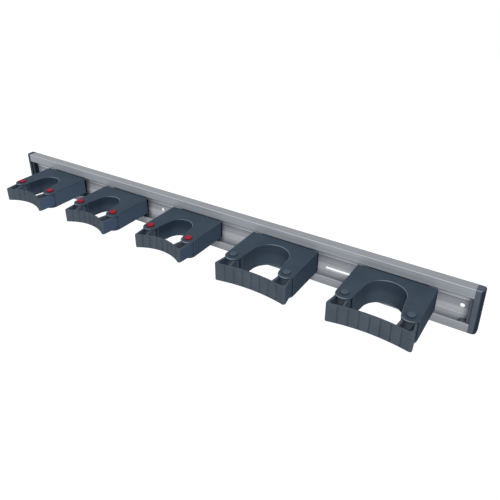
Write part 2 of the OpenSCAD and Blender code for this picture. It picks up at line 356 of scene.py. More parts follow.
def loft(name, sections, place=upright):
    """Solid through (outline, level) sections that all have the same number of points."""
    verts, faces = [], []
    count = len(sections[0][0])
    for outline, level in sections:
        verts += [(x, y, level) for x, y in outline]
    for ring in range(len(sections) - 1):
        for i in range(count):
            j = (i + 1) % count
            a = ring * count
            faces.append((a + i, a + j, a + count + j, a + count + i))
    for ring in (0, len(sections) - 1):
        flat = [Vector((*v[:2], 0)) for v in verts[ring * count:(ring + 1) * count]]
        faces += [tuple(ring * count + i for i in t) for t in tessellate_polygon([flat])]
    return new_object(name, [place(*v) for v in verts], faces)


def lathe(name, profile, centre, place=upright, segments=48):
    """Solid of revolution of (radius, height) points, the first and last of them on the axis."""
    verts = [place(centre[0], centre[1], profile[0][1]), place(centre[0], centre[1], profile[-1][1])]
    inner = profile[1:-1]
    for radius, height in inner:
        for k in range(segments):
            a = 2 * math.pi * k / segments
            u = centre[0] + radius * math.cos(a)
            v = centre[1] + radius * math.sin(a)
            verts.append(place(u, v, height))
    faces = []
    for k in range(segments):
        n = (k + 1) % segments
        faces.append((0, 2 + n, 2 + k))
        for ring in range(len(inner) - 1):
            a = 2 + ring * segments
            b = a + segments
            faces.append((a + k, a + n, b + n, b + k))
        last = 2 + (len(inner) - 1) * segments
        faces.append((1, last + k, last + n))
    return new_object(name, verts, faces)


def bake(piece):
    """Replaces a piece's mesh by the one that its modifiers make."""
    graph = bpy.context.evaluated_depsgraph_get()
    mesh = bpy.data.meshes.new_from_object(piece.evaluated_get(graph))
    piece.modifiers.clear()
    old = piece.data
    piece.data = mesh
    bpy.data.meshes.remove(old)
    return piece


def combine(piece, others, operation):
    """Joins other solids to a piece or cuts them from it, and deletes them."""
    for other in others:
        modifier = piece.modifiers.new("combine", "BOOLEAN")
        modifier.operation = operation
        modifier.solver = "EXACT"
        modifier.object = other
        bake(piece)
        bpy.data.objects.remove(other)
    return piece


def join(pieces):
    """Puts separate solids into the first one's object."""
    first = pieces[0]
    work = bmesh.new()
    for piece in pieces:
        work.from_mesh(piece.data)
    work.to_mesh(first.data)
    work.free()
    for piece in pieces[1:]:
        bpy.data.objects.remove(piece)
    return first


def mirror(piece):
    """Moves a piece to the other side of x = 0. Its faces are turned outwards by clean."""
    for vertex in piece.data.vertices:
        vertex.co.x = -vertex.co.x


def clean(piece):
    """Merges stray points, turns faces outwards and shades them smooth where they bend gently."""
    work = bmesh.new()
    work.from_mesh(piece.data)
    bmesh.ops.remove_doubles(work, verts=work.verts, dist=MERGE_WITHIN * MM)
    bmesh.ops.dissolve_degenerate(work, edges=work.edges, dist=MERGE_WITHIN / 2 * MM)
    bmesh.ops.recalc_face_normals(work, faces=work.faces)
    work.to_mesh(piece.data)
    work.free()
    piece.data.shade_smooth()
    piece.data.set_sharp_from_angle(angle=math.radians(SMOOTH_ANGLE))
    modifier = piece.modifiers.new("even_normals", "WEIGHTED_NORMAL")
    modifier.keep_sharp = True
    return bake(piece)


def dress(piece, material, body=None):
    """Gives a piece its material and the body that it rides on."""
    piece.data.materials.clear()
    piece.data.materials.append(material)
    if body:
        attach(piece, body)
    return piece


# Materials

class Nodes:
    """Short way to write a material's node tree."""

    def __init__(self, name):
        self.material = bpy.data.materials.new(name)
        self.material.use_nodes = True
        self.tree = self.material.node_tree
        self.shader = self.tree.nodes["Principled BSDF"]
        coordinates = self.add("ShaderNodeTexCoord")
        self.place = coordinates.outputs["Object"]
        self.facing = coordinates.outputs["Normal"]

    def add(self, kind, **settings):
        """New node with its settings."""
        node = self.tree.nodes.new(kind)
        for key, value in settings.items():
            setattr(node, key, value)
        return node

    def link(self, output, target):
        """Joins an output to an input."""
        self.tree.links.new(output, target)

    def noise(self, scale, detail=4, rough=0.55, stretch=(1, 1, 1)):
        """Noise over the object, with its scale in features a metre along each axis."""
        mapping = self.add("ShaderNodeMapping")
        mapping.inputs["Scale"].default_value = stretch
        self.link(self.place, mapping.inputs["Vector"])
        node = self.add("ShaderNodeTexNoise")
        node.inputs["Scale"].default_value = scale
        node.inputs["Detail"].default_value = detail
        node.inputs["Roughness"].default_value = rough
        self.link(mapping.outputs["Vector"], node.inputs["Vector"])
        return node.outputs["Fac"]

    def spread(self, value, low, high, start=0.35, end=0.65):
        """Change from low to high while a value goes from start to end, by default a noise's range."""
        node = self.add("ShaderNodeMapRange")
        node.inputs["From Min"].default_value = start
        node.inputs["From Max"].default_value = end
        node.inputs["To Min"].default_value = low
        node.inputs["To Max"].default_value = high
        self.link(value, node.inputs["Value"])
        return node.outputs["Result"]

    def blend(self, share, first, second):
        """Colour between two, each of them a link or (red, green, blue) screen values up to 255."""
        node = self.add("ShaderNodeMix", data_type="RGBA")
        self.link(share, node.inputs["Factor"])
        for colour, name in ((first, "A"), (second, "B")):
            socket = [s for s in node.inputs if s.name == name and s.type == "RGBA"][0]
            if isinstance(colour, tuple):
                socket.default_value = (*(linear(value) for value in colour), 1)
            else:
                self.link(colour, socket)
        return [s for s in node.outputs if s.type == "RGBA"][0]

    def paint(self, base, layers):
        """Gives the shader a base colour with (share, colour) layers over it."""
        for share, colour in layers:
            base = self.blend(share, base, colour)
        self.link(base, self.shader.inputs["Base Color"])

    def times(self, first, second):
        """Product of two values."""
        node = self.add("ShaderNodeMath", operation="MULTIPLY")
        self.link(first, node.inputs[0])
        self.link(second, node.inputs[1])
        return node.outputs["Value"]

    def unsigned(self, value):
        """Value without its sign."""
        node = self.add("ShaderNodeMath", operation="ABSOLUTE")
        self.link(value, node.inputs[0])
        return node.outputs["Value"]

    def parts(self, vector):
        """The X, Y and Z values of a vector."""
        split = self.add("ShaderNodeSeparateXYZ")
        self.link(vector, split.inputs["Vector"])
        return [split.outputs[name] for name in "XYZ"]

    def painted_edge_highlight(self, patches, low=0.35):
        """Painted highlight on the rounded upper edges that look to the front and left, stronger in some
        patches.
        """
        side, forward, upward = self.parts(self.facing)
        lean = self.add("ShaderNodeMath", operation="MULTIPLY_ADD")
        self.link(side, lean.inputs[0])
        lean.inputs[1].default_value = 0.6
        self.link(forward, lean.inputs[2])
        rise = self.spread(upward, 0, 1, 0.3, 0.55)
        fall = self.spread(upward, 1, 0, 0.88, 0.98)
        front = self.spread(lean.outputs["Value"], 1, 0, -0.55, -0.1)
        return self.times(self.times(rise, fall), self.times(front, self.spread(patches, low, 1)))

    def stripe(self, value, centre, half, soft):
        """1 on a stripe of a coordinate, all in millimetres, with soft borders."""
        away = self.add("ShaderNodeMath", operation="SUBTRACT")
        self.link(value, away.inputs[0])
        away.inputs[1].default_value = centre * MM
        distance = self.unsigned(away.outputs["Value"])
        return self.spread(distance, 1, 0, half * MM, (half + soft) * MM)

    def between(self, value, start, end, low=0, high=1):
        """Change from low to high between two places of a coordinate in millimetres."""
        return self.spread(value, low, high, start * MM, end * MM)

    def bump(self, layers):
        """Chains (height, depth in millimetres, strength) layers into the shader's normal."""
        normal = None
        for height, depth, strength in layers:
            node = self.add("ShaderNodeBump")
            node.inputs["Distance"].default_value = depth * MM
            node.inputs["Strength"].default_value = strength
            self.link(height, node.inputs["Height"])
            if normal is not None:
                self.link(normal, node.inputs["Normal"])
            normal = node.outputs["Normal"]
        self.link(normal, self.shader.inputs["Normal"])


def linear(value):
    """Linear share of light for a screen value from 0 to 255."""
    share = value / 255
    return share / 12.92 if share <= 0.04045 else ((share + 0.055) / 1.055) ** 2.4


def aluminium_material():
    """Extruded aluminium with fine lines along its length, faint bands, scuffs, and painted light, shade
    and highlights.
    """
    n = Nodes("extruded_aluminium")
    lines = n.noise(1, 3, 0.6, stretch=(3, 1400, 1400))
    bands = n.noise(1, 2, 0.5, stretch=(0.8, 130, 130))
    cloud = n.noise(14, 3)
    drawn = n.noise(1, 3, 0.6, stretch=(1.5, 420, 420))
    scuffs = n.noise(1, 6, 0.7, stretch=(30, 320, 320))
    along, depth, height = n.parts(n.place)
    web = n.between(depth, -8, -6)
    front = n.between(depth, -16, -14, 1, 0)
    edge = n.between(depth, -15, -14, 1, 0)
    dull_ends = n.spread(n.stripe(along, 0, BRIGHT_HALF, BRIGHT_SOFT), 0.5, 0, 0, 1)
    # Painted shade: the top face a little darker than the front
    top_painted_shade = n.between(height, RAIL_H / 2 - 0.3, RAIL_H / 2 - 0.05, 0, 0.8)
    # Painted light: lighter bands on the web, low in the channel and just under the flange, against the
    # shade there
    web_low_painted_light = n.times(n.stripe(height, -16, 7, 5), web)
    web_high_painted_light = n.times(n.stripe(height, 15, 6.5, 2), web)
    # Painted shade: the lip's front darker towards the bottom
    lip_painted_shade = n.times(n.between(height, -34, -20, 1, 0), front)
    # Painted shadow: a dark line on the web just under the ridge
    ridge_painted_shadow = n.times(n.stripe(height, RIDGE_LOW - 0.3, 0.5, 0.5), web)
    # Painted shade: a dark line along the flange's lower edge
    flange_edge_painted_shade = n.times(n.stripe(height, FLANGE_LOW, EDGE_ROUND, 0.4), edge)
    n.paint(n.blend(n.spread(bands, 0, 1), (172, 175, 181), (181, 184, 189)), [
        (n.spread(lines, 0, 0.5, 0.3, 0.7), (160, 163, 169)),
        (n.spread(drawn, 0, 0.6, 0.42, 0.6), (152, 155, 161)),
        (n.spread(scuffs, 0, 0.25, 0.62, 0.8), (194, 196, 200)),
        (dull_ends, (152, 155, 161)),
        (top_painted_shade, (152, 155, 160)),
        (web_low_painted_light, (200, 203, 207)),
        (web_high_painted_light, (216, 219, 223)),
        (lip_painted_shade, (148, 151, 156)),
        (ridge_painted_shadow, (78, 82, 88)),
        (flange_edge_painted_shade, (96, 100, 106)),
        # Painted highlight along the rounded top front edges
        (n.painted_edge_highlight(cloud, 0.7), (212, 215, 219)),
    ])
    n.shader.inputs["Metallic"].default_value = 0.15
    n.shader.inputs["Specular IOR Level"].default_value = 0.3
    n.link(n.spread(cloud, 0.52, 0.6), n.shader.inputs["Roughness"])
    n.bump([(lines, 0.02, 0.35), (bands, 0.05, 0.2), (scuffs, 0.01, 0.2)])
    return n.material


def painted_side_light(n, left, right):
    """Painted light on the holders' outer sides, from lighter at the left holder to darker at the right
    one.
    """
    return n.blend(n.between(n.parts(n.place)[0], *SIDE_LIGHT_SPAN), left, right)


def moulded_material(name, dark, light, scuff, edge, rough, ends=None, rim=None, sides=None):
    """Moulded plastic with a fine grain, slow colour drift, faint scuffs and a painted highlight on upper
    front edges.

    ends is the colour of painted shade on faces that look along X, and at half strength on the rail's
    left end, and rim the colour of painted shade on those that don't look up. sides holds the painted
    light of the flat outer sides, lighter at the rail's left and darker at its right, and the painted
    shade of the handle openings' walls.
    """
    n = Nodes(name)
    grain = n.noise(1900, 3, 0.6)
    cloud = n.noise(26, 3)
    marks = n.noise(1, 6, 0.72, stretch=(90, 420, 230))
    side, _, upward = n.parts(n.facing)
    along, depth, height = n.parts(n.place)
    sideways = n.unsigned(side)
    # Scuffs, and the painted highlight on the upper front edges
    layers = [(n.spread(marks, 0, 0.35, 0.62, 0.82), scuff), (n.painted_edge_highlight(cloud), edge)]
    if ends:
        # Painted shade: the rail's left end at half strength, and the faces that look along X
        layers.append((n.between(along, *CAP_SHADE_SPAN, 0.5, 0), ends))
        layers.append((n.spread(sideways, 0, 0.9, 0.3, 0.6), ends))
    if sides:
        left, right, hollow = sides
        # Painted light on the flat outer sides, lighter at the rail's left and darker at its right
        layers.append((n.spread(sideways, 0, 0.85, *FLAT), painted_side_light(n, left, right)))
        # Painted shade on the handle openings' walls: stronger high up, on walls that look to the right,
        # and in the small holders
        wall = n.times(n.spread(upward, 1, 0, 0.3, 0.6), n.stripe(depth, -62, 28, 2))
        wall = n.times(wall, n.spread(sideways, 1, 0, *FLAT))
        wall = n.times(wall, n.between(height, -2, 9, 0.35, 1))
        wall = n.times(wall, n.spread(side, 0.5, 0.85, -0.4, 0.5))
        wall = n.times(wall, n.between(along, 80, 140, 1, 0.5))
        layers.append((wall, hollow))
    if rim:
        # Painted shade on faces that don't look up, leaving the tops lighter
        layers.append((n.spread(upward, 0.9, 0, 0.7, 0.95), rim))
    n.paint(n.blend(n.spread(cloud, 0, 1), dark, light), layers)
    n.link(n.spread(cloud, rough - 0.05, rough + 0.07), n.shader.inputs["Roughness"])
    n.shader.inputs["Specular IOR Level"].default_value = 0.01
    n.bump([(grain, 0.03, 0.3), (cloud, 0.3, 0.12), (marks, 0.02, 0.2)])
    return n.material


def rubber_material():
    """Matt moulded rubber with a dusty bloom, a fine open texture and painted light and shade on the outer
    sides.
    """
    n = Nodes("moulded_rubber")
    grain = n.noise(1300, 4, 0.65)
    cloud = n.noise(34, 4, 0.6)
    dust = n.noise(240, 5, 0.7)
    sideways = n.unsigned(n.parts(n.facing)[0])
    n.paint(n.blend(n.spread(cloud, 0, 1), (79, 88, 97), (87, 96, 105)), [
        (n.spread(dust, 0, 0.3, 0.55, 0.75), (104, 112, 120)),
        # Painted light on the outer sides, lighter at the left holder and darker at the right
        (n.spread(sideways, 0, 0.9, 0.96, 0.99), painted_side_light(n, (80, 97, 124), (58, 72, 86))),
    ])
    n.shader.inputs["Specular IOR Level"].default_value = 0.02
    n.link(n.spread(dust, 0.6, 0.74), n.shader.inputs["Roughness"])
    n.bump([(grain, 0.05, 0.35), (cloud, 0.2, 0.15)])
    return n.material


MATERIALS = {
    "aluminium": aluminium_material(),
    # The cap's ends colour is painted shade, its edge colour a painted highlight
    "cap_plastic": moulded_material(
        "cap_plastic", dark=(88, 97, 107), light=(95, 104, 114), scuff=(116, 124, 132),
        edge=(176, 184, 191), rough=0.58, ends=(30, 39, 52)),
    # The holder's edge colour is a painted highlight, its sides colours painted light on the outer sides
    # at left and right and painted shade on the opening walls
    "holder_plastic": moulded_material(
        "holder_plastic", dark=(65, 78, 90), light=(71, 84, 96), scuff=(96, 109, 122),
        edge=(158, 170, 180), rough=0.58, sides=((82, 99, 118), (50, 62, 76), (38, 50, 66))),
    "rubber": rubber_material(),
    # In both pin materials the rim colour is painted shade on faces that don't look up, and the edge
    # colour a painted highlight
    "pin_red": moulded_material(
        "pin_red", dark=(168, 44, 55), light=(180, 52, 63), scuff=(196, 74, 84),
        edge=(184, 58, 68), rough=0.5, rim=(108, 34, 44)),
    "pin_grey": moulded_material(
        "pin_grey", dark=(80, 92, 103), light=(86, 98, 109), scuff=(104, 115, 126),
        edge=(120, 131, 141), rough=0.5, rim=(56, 68, 80)),
}


# Rail and end caps

def rail_loops():
    """Section of the extrusion as (y, z) loops."""
    h = RAIL_H / 2
    front = -RAIL_D
    inside = -(RAIL_D - SHEET)
    corners = [
        (0, -h, BACK_ROUND), (0, h, BACK_ROUND),
        (front, h, FRONT_ROUND), (front, FLANGE_LOW, EDGE_ROUND),
        (inside, FLANGE_LOW, EDGE_ROUND), (inside, h - SHEET, INSIDE_ROUND),
        (-WEB - RIDGE, h - SHEET, INSIDE_ROUND), (-WEB - RIDGE, RIDGE_LOW, RIDGE_ROUND),
        (-WEB, RIDGE_LOW, RIDGE_FOOT),
        (-WEB, GROOVE[1], GROOVE_ROUND), (-WEB + GROOVE_DEPTH, GROOVE[1], GROOVE_ROUND),
        (-WEB + GROOVE_DEPTH, GROOVE[0], GROOVE_ROUND), (-WEB, GROOVE[0], GROOVE_ROUND),
        (-WEB, -h + SHEET, INSIDE_ROUND), (inside, -h + SHEET, INSIDE_ROUND),
        (inside, LIP_TOP, EDGE_ROUND), (front, LIP_TOP, EDGE_ROUND), (front, -h, FRONT_ROUND),
    ]
    return [rounded(corners)]


def web_cutter(x, z, radius, half_length=0):
    """Cutter for a hole or slot through the web, with small chamfers at both faces."""
    if half_length:
        outline = arc((x + half_length, z), radius, -90, 90, FINE_STEP)
        outline += arc((x - half_length, z), radius, 90, 270, FINE_STEP)
    else:
        outline = circle((x, z), radius, FINE_STEP)
    flare = -HOLE_EDGE - CUT_PAST
    levels = [(-WEB - CUT_PAST, flare), (-WEB + HOLE_EDGE, 0), (-HOLE_EDGE, 0), (CUT_PAST, flare)]
    verts, rings = [], []
    for y, depth in levels:
        rings.append(range(len(verts), len(verts) + len(outline)))
        verts += [(u, y, v) for u, v in inset(outline, depth)]
    faces = []
    count = len(outline)
    for low, high in zip(rings, rings[1:]):
        for i in range(count):
            j = (i + 1) % count
            faces.append((low[i], low[j], high[j], high[i]))
    faces.append(tuple(rings[0]))
    faces.append(tuple(reversed(rings[-1])))
    return new_object("cutter", verts, faces)


def make_rail():
    """The aluminium extrusion with its wall holes and slots."""
    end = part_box("rail")[1].x / MM
    piece = prism("rail_extrusion", rail_loops(), -end, end, SAWN_ROUND, SAWN_ROUND, 2, lengthwise)
    cutters = []
    for side in (-1, 1):
        cutters.append(web_cutter(side * (end - END_HOLE_INSET), HOLE_Z, HOLE_R))
        cutters.append(web_cutter(side * MIDDLE_HOLE, HOLE_Z, HOLE_R))
        cutters.append(web_cutter(side * SLOT_X, SLOT_Z, SLOT_R, SLOT_LENGTH / 2 - SLOT_R))
    combine(piece, cutters, "DIFFERENCE")
    clean(piece)
    dress(piece, MATERIALS["aluminium"], "rail_body")
    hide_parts("rail")


def make_end_cap(side, node):
    """Moulded cap: a block with rounded outer edges, a plug and two prongs. side is 1 on the right."""
    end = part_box("rail")[1].x / MM
    out = max(abs(c.x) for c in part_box(node)) / MM
    half = RAIL_H / 2
    start = end + CAP_GAP

    def shrink(x, radius):
        """How far an edge of this radius has drawn the block in at x."""
        over = max(0, x - out + radius)
        return radius - math.sqrt(radius ** 2 - over ** 2)

    def section(x):
        """Outline of the block at x, with that x."""
        small = shrink(x, CAP_ROUND)
        front = -RAIL_D + shrink(x, CAP_BEND)
        return rounded([
            (-small, small - half, CAP_BACK_ROUND), (-small, half - small, CAP_BACK_ROUND),
            (front, half - small, FRONT_ROUND), (front, small - half, FRONT_ROUND)]), x

    turns = [math.pi / 2 * k / BEND_STEPS for k in range(BEND_STEPS + 1)]
    bend = [out - CAP_BEND * (1 - math.sin(turn)) for turn in turns]
    block = loft(node + "_block", [section(x) for x in [start] + bend], lengthwise)
    near = -(WEB + RIDGE + PLUG_GAP)
    far = -(RAIL_D - SHEET - PLUG_GAP)
    top = half - SHEET - PLUG_GAP
    low = LIP_TOP - PLUG_GAP

    def bar(z0, z1, depth):
        """Bar that reaches from the block into the channel."""
        corners = rectangle(near, far, z0, z1)
        loops = [rounded([(*corner, PLUG_ROUND) for corner in corners])]
        return prism("bar", loops, end - depth, end + JOIN_DEPTH, 0, PLUG_ROUND, 3, lengthwise)

    combine(block, [bar(-top, top, PLUG), bar(-top, low, PRONG), bar(-low, top, PRONG)], "UNION")
    if side < 0:
        mirror(block)
    clean(block)
    dress(block, MATERIALS["cap_plastic"], "rail_body")
    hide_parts(node)


# Holders

class Holder:
    """Sizes and places of one holder, worked out from its kind and from its packed housing."""

    def __init__(self, number):
        kind = KINDS[number - 1]
        self.number = number
        self.kind = kind
        low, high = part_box(f"housing_{number}")
        self.x = (low.x + high.x) / 2 / MM
        self.half = kind["width"] / 2
        self.low = HOLDER_TOP - kind["height"]
        self.reach = kind["reach"]
        self.tip = kind["tip"]
        self.pin_x = self.half - self.tip
        self.mouth = kind["mouth"]
        self.mouth_y = kind["mouth_back"] + self.mouth
        self.back = RAIL_D + SLIDE_GAP
        self.front_x = kind["front_x"]
        self.front_y = kind["front_y"]
        self.sag = kind["sag"]
        self.leg_x = kind["leg_x"]
        self.hub = self.tip - WALL - HUB_GAP
        self.hollow_r = (self.front_x ** 2 + self.sag ** 2) / (2 * self.sag)
        self.hollow_y = self.front_y - self.sag + self.hollow_r
        self.corner_x = self.front_x - CORNER
        reach = self.hollow_r + CORNER
        self.corner_y = self.hollow_y - math.sqrt(reach ** 2 - self.corner_x ** 2)
        self.corner_touch = self.corner_x * self.hollow_r / reach
        self.pitch = (2 * self.front_x - CORNER) / PADS
        self.pads_end = self.pitch * (PADS // 2 - 0.5)

    def mouth_path(self, forward=0, out=0, end=None):
        """Open path round the handle opening, from the right arm's inner side to the left's."""
        y0 = -(self.mouth_y + forward)
        x1 = self.pin_x - self.tip + out
        y1 = -self.reach if end is None else -end
        r = self.mouth + out
        slope = (x1 - r) / (-self.reach - y0)
        x_end = r + slope * (y1 - y0)
        return [(x_end, y1)] + arc((0, y0), r, 0, 180) + [(-x_end, y1)]

    def plate(self, forward):
        """Outline of a plate: straight sides, round arm tips and the handle opening."""
        path = self.mouth_path(forward)
        right = arc((self.pin_x, -self.reach), self.tip, 0, -180)
        left = arc((-self.pin_x, -self.reach), self.tip, 0, -180)
        return [(self.half, -self.back)] + right + path[1:-1] + left + [(-self.half, -self.back)]


def at(h, piece):
    """Moves a piece that was made at the middle of the rail to its holder's place."""
    for vertex in piece.data.vertices:
        vertex.co.x += h.x * MM
    return piece


def make_housing(h):
    """Shell of one holder: plates, walls, foot with hooks, pin holes."""
    name = f"holder_{h.number}_shell"
    piece = prism(name, region([h.plate(0)]), HOLDER_TOP - PLATE, HOLDER_TOP, PLATE_ROUND, PLATE_EDGE)
    low_plate = region([h.plate(LEDGE_STEP)])
    parts = [prism("low_plate", low_plate, h.low, h.low + PLATE, PLATE_EDGE, PLATE_ROUND)]
    inner_low = h.low + PLATE_ROUND + WALL_IN
    inner_top = HOLDER_TOP - PLATE_ROUND - WALL_IN
    for side in (-1, 1):
        x0, x1 = sorted((side * h.half, side * (h.half - WALL)))
        wall = rounded([
            (x0, -h.reach, ARM_ROUND), (x1, -h.reach, ARM_ROUND), (x1, -h.back, 0), (x0, -h.back, 0)])
        parts.append(prism("side", region([wall]), inner_low, inner_top))
    end = h.reach - MOUTH_END
    outside = list(reversed(h.mouth_path(0, WALL, end)))
    upper = h.mouth_path(0, 0, end) + outside
    parts.append(prism("mouth_wall", region([upper]), inner_low, inner_top))
    fall = h.kind["crease"] - h.low - PLATE
    slope = []
    for down, forward in MOUTH_SLOPE:
        section = h.mouth_path(forward * LEDGE_STEP, OFF_PLANE, end) + outside
        slope.append((section, h.kind["crease"] - down * fall))
    parts.append(loft("mouth_slope", slope))
    back = rectangle(-h.half, h.half, -h.back - BACK_WALL, -h.back)
    parts.append(prism("back_wall", region([back]), inner_low, inner_top))
    parts += foot_parts(h)
    combine(piece, parts, "UNION")
    cuts = []
    for side in (-1, 1):
        centre = (side * h.pin_x, -h.reach)
        cuts.append(lathe("pin_hole", [
            (0, h.low - CUT_PAST), (PIN_FOOT_R + CUT_PAST, h.low - CUT_PAST),
            (PIN_FOOT_R + PIN_FIT, h.low + PIN_SUNK),
            (PIN_FOOT_R + PIN_FIT, h.low + PIN_FOOT_H + PIN_FIT),
            (PIN_R + PIN_FIT, h.low + PIN_FOOT_H + PIN_FIT), (PIN_R + PIN_FIT, HOLDER_TOP + CUT_PAST),
            (0, HOLDER_TOP + CUT_PAST)], centre))
    combine(piece, cuts, "DIFFERENCE")
    clean(at(h, piece))
    dress(piece, MATERIALS["holder_plastic"], f"holder_{h.number}")
    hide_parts(f"housing_{h.number}")


def foot_parts(h):
    """Foot in the rail channel: a rear block with pockets towards the wall, and its hooks."""
    near = -(WEB + RIDGE + SLIDE_GAP)
    far = -(h.back + BACK_WALL)
    top = HOLDER_TOP - FOOT_DROP
    low = LIP_TOP + SLIDE_GAP
    hook = -(RAIL_D - SHEET - SLIDE_GAP)
    end = h.half - FOOT_INSET

    def bar(name, corners, x0, x1, edge):
        """Bar along the rail with its (y, z, radius) corners and with rounded ends."""
        return prism(name, [rounded(corners)], x0, x1, edge, edge, 2, lengthwise)

    block = bar("foot", [
        (near, low, FOOT_ROUND), (near, top, FOOT_ROUND), (far, top, 0), (far, low, FOOT_ROUND)],
        -end, end, FOOT_ROUND)
    pocket = [
        (near + CUT_PAST, low + FOOT_WALL, 0), (near + CUT_PAST, top - FOOT_WALL, 0),
        (-h.back, top - FOOT_WALL, POCKET_ROUND), (-h.back, low + FOOT_WALL, POCKET_ROUND)]
    inner = FOOT_WALL / 2
    outer = end - FOOT_WALL
    combine(block, [
        bar("pocket", pocket, -outer, -inner, POCKET_EDGE),
        bar("pocket", pocket, inner, outer, POCKET_EDGE)], "DIFFERENCE")
    lower = bar("hook", [
        (hook + HOOK_T, low - HOOK_H, HOOK_ROUND), (hook + HOOK_T, low + JOIN_DEPTH, 0),
        (hook, low + JOIN_DEPTH, 0), (hook, low - HOOK_H, HOOK_ROUND)], -end, end, HOOK_ROUND)
    upper = bar("hook", [
        (hook + HOOK_T, top - JOIN_DEPTH, 0), (hook + HOOK_T, HOLDER_TOP + HOOK_H, HOOK_ROUND),
        (hook, HOLDER_TOP + HOOK_H, HOOK_ROUND), (hook, top - JOIN_DEPTH, 0)], -end, end, HOOK_ROUND)
    return [block, lower, upper]


def pad_face(h, x0, x1):
    """Front face of the ribbed band between two x values: rounded pads with a groove between each two."""
    marks = {x0, x1}
    for i in range(-PADS // 2, PADS // 2 + 1):
        for tenth in range(-4, 6):
            marks.add((i + tenth / 10) * h.pitch)
        marks |= {i * h.pitch - PAD_GROOVE_W / 2, i * h.pitch + PAD_GROOVE_W / 2}
    points = []
    for x in sorted(m for m in marks if x0 - 1e-6 <= m <= x1 + 1e-6):
        y = h.hollow_y - math.sqrt(h.hollow_r ** 2 - x * x)
        away = abs(x / h.pitch - round(x / h.pitch)) * h.pitch
        if abs(x) < h.pads_end:
            y -= h.kind["fold"] * (1 - 2 * away / h.pitch) ** 2
            if away < PAD_GROOVE_W / 4:
                y -= PAD_GROOVE
        points.append((x, -y))
    return points


def band_back(h, x0, x1):
    """Rear face of the ribbed band between two x values, from the second to the first."""
    radius = h.hollow_r + BAND
    count = math.ceil((x1 - x0) / BAND_STEP)
    xs = [x1 + (x0 - x1) * k / count for k in range(count + 1)]
    return [(x, -(h.hollow_y - math.sqrt(radius ** 2 - x * x))) for x in xs]


def rubber_region(h):
    """Outline of the right half of the rubber: hub, two legs, the hollow between them and the front."""
    hub = circle((h.pin_x, -h.reach), h.hub)
    corner = circle((h.corner_x, -h.corner_y), CORNER, FINE_STEP)
    # The outer leg touches the hub and the rounded front corner on their outer side
    across, along = h.corner_x - h.pin_x, h.corner_y - h.reach
    angle = math.atan2(along, across) - math.acos((h.hub - CORNER) / math.hypot(across, along))
    c, s = math.cos(angle), math.sin(angle)
    outer = [(h.pin_x + h.hub * c, -h.reach - h.hub * s),
             (h.corner_x + CORNER * c, -h.corner_y - CORNER * s),
             (h.corner_x + (CORNER - LEG) * c, -h.corner_y - (CORNER - LEG) * s),
             (h.pin_x + (h.hub - LEG) * c, -h.reach - (h.hub - LEG) * s)]
    lx = h.leg_x
    ly = h.hollow_y - math.sqrt(h.hollow_r ** 2 - lx * lx)
    side = h.pin_x - h.hub
    start = h.reach + LEG_START + LEG / 2
    inner = [
        (h.pin_x, -start), (side + LEG / 4, -start), (lx, -ly + BAND / 2),
        (lx + LEG, -ly), (side + LEG * 1.5, -start - LEG), (h.pin_x, -start - LEG)]
    strip = pad_face(h, 0, h.corner_touch) + band_back(h, 0, h.corner_touch)
    beyond = pad_face(h, 0, h.corner_touch)
    beyond += [(h.corner_touch, -h.front_y - LEG), (0, -h.front_y - LEG)]
    bore = circle((h.pin_x, -h.reach), PIN_R + BORE_GAP, FINE_STEP)
    return region([hub, corner, outer, inner, strip], [beyond, bore])


def rim_region(h):
    """Outline of the smooth rims above and below the right half of the pads."""
    start = 2 * OFF_PLANE
    xs = [start + (h.pads_end - start) * k / RIM_STEPS for k in range(RIM_STEPS + 1)]
    front = [(x, RIM_SUNK + math.sqrt(h.hollow_r ** 2 - x * x) - h.hollow_y) for x in xs]
    back = [(x, math.sqrt((h.hollow_r + BAND / 2) ** 2 - x * x) - h.hollow_y) for x in reversed(xs)]
    return region([front + back])


def make_rubber(h, side):
    """Jaw and half of the ribbed band on one side, as one moulding."""
    word = "right" if side > 0 else "left"
    z0 = h.low + PLATE + JAW_GAP
    z1 = HOLDER_TOP - PLATE - JAW_GAP
    piece = prism(f"holder_{h.number}_rubber_{word}", rubber_region(h), z0, z1,
                  RUBBER_ROUND, RUBBER_ROUND, 3, seam=0)
    rim = rim_region(h)
    upper = prism("rim", rim, z1 - PAD_RIM, z1 - OFF_PLANE, RIM_FRONT_ROUND, RIM_PAD_ROUND)
    lower = prism("rim", rim, z0 + OFF_PLANE, z0 + PAD_RIM, RIM_PAD_ROUND, RIM_FRONT_ROUND)
    combine(piece, [upper, lower], "UNION")
    if side < 0:
        mirror(piece)
    clean(at(h, piece))
    dress(piece, MATERIALS["rubber"])
    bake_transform(piece)
    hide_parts(f"jaw_{word}_{h.number}", f"band_{word}_{h.number}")


def pin_profile(h):
    """Half section of a hinge pin: foot, shaft and a raised, slightly domed head."""
    low = h.low + PIN_SUNK
    seat = HOLDER_TOP + PIN_FIT
    top = seat + PIN_HEAD_H
    flat = PIN_HEAD_R - PIN_HEAD_EDGE
    shoulder = top - PIN_HEAD_RISE - PIN_HEAD_EDGE
    profile = [(0, low), (PIN_FOOT_R - PIN_FOOT_EDGE, low), (PIN_FOOT_R, low + PIN_FOOT_EDGE),
               (PIN_FOOT_R, h.low + PIN_FOOT_H), (PIN_R, h.low + PIN_FOOT_H), (PIN_R, seat),
               (PIN_HEAD_R - PIN_SEAT_EDGE, seat), (PIN_HEAD_R, seat + PIN_SEAT_EDGE)]
    for k in range(5):
        a = math.pi / 2 * k / 4
        profile.append((flat + PIN_HEAD_EDGE * math.cos(a), shoulder + PIN_HEAD_EDGE * math.sin(a)))
    for share in (0.75, 0.5, 0.25):
        profile.append((flat * share, top - PIN_HEAD_RISE * share ** 2))
    return profile + [(0, top)]


